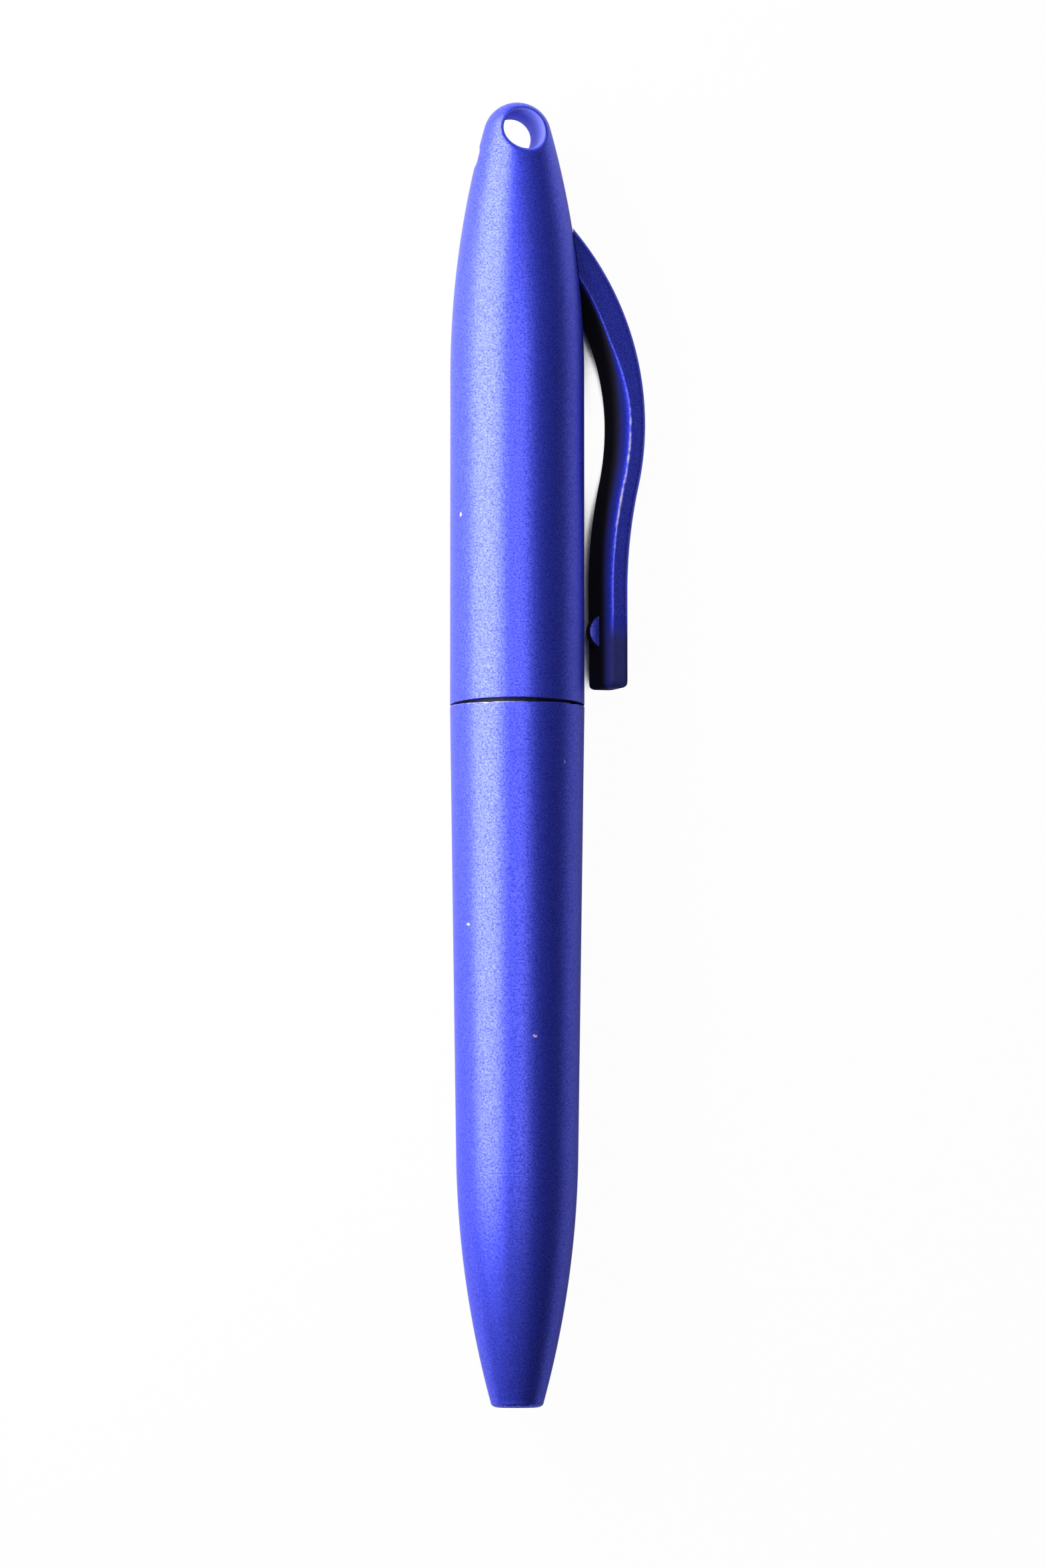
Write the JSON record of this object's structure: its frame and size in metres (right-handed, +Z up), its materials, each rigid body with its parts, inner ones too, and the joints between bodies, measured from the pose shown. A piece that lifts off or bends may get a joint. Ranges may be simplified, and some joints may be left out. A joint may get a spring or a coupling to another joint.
{
  "type": "ballpoint pen",
  "caption": "Short twist-action ballpoint pen with a tapered two-part barrel, a bowed pocket clip and a lanyard eye through its drawn-in crown.",
  "frame": {"origin": "on the surface that the pen lies on, under the middle of its outline", "axes": "+Z up from the surface, +Y along the pen from the writing end to the crown, clip towards +X"},
  "size_m": [0.0158, 0.105, 0.0108],
  "materials": {
    "lacquered_abs": "satin violet-blue metallic lacquer over moulded plastic",
    "pale_acetal": "as moulded",
    "dark_acetal": "as moulded",
    "steel": "bright drawn",
    "brass": "bright drawn",
    "nickel_silver": "turned",
    "carbide": "lapped",
    "nitrile_rubber": "moulded",
    "blue_ink": "wet paste"
  },
  "bodies": {
    "barrel": {"lower_barrel": "lacquered_abs", "guide_sleeve": "dark_acetal", "retaining_ring": "steel", "drag_ring": "nitrile_rubber", "return_spring": "steel"},
    "cap": {"upper_barrel": "lacquered_abs", "cam_sleeve": "pale_acetal"},
    "clip": {"clip": "lacquered_abs"},
    "refill": {"carrier": "pale_acetal", "cross_pin": "steel", "refill_tube": "brass", "refill_tip": "nickel_silver", "ink_column": "blue_ink"},
    "ball": {"writing_ball": "carbide"}
  },
  "joints": [
    {"name": "cap_twist", "type": "hinge", "parent": "barrel", "child": "cap", "pos_m": [-0.00247, 0, 0.0054], "axis": [0, -1, 0], "range_deg": [0, 180]},
    {"name": "refill_feed", "type": "slide", "parent": "barrel", "child": "refill", "axis": [0, -1, 0], "range_m": [0, 0.005], "deforming": ["return_spring"]},
    {"name": "clip_flex", "type": "hinge", "parent": "cap", "child": "clip", "pos_m": [0.00175, 0.04191, 0.00386], "axis": [0.3431, 0, 0.9393], "range_deg": [0, 4], "stiffness_Nm_per_rad": 1.3},
    {"name": "ball_roll", "type": "hinge", "parent": "refill", "child": "ball", "pos_m": [-0.00247, -0.0507, 0.0054], "axis": [1, 0, 0], "continuous": true}
  ],
  "couplings": [
    {"joint": "refill_feed", "follows": "cap_twist", "m_per_rad": 0.0015915}
  ]
}
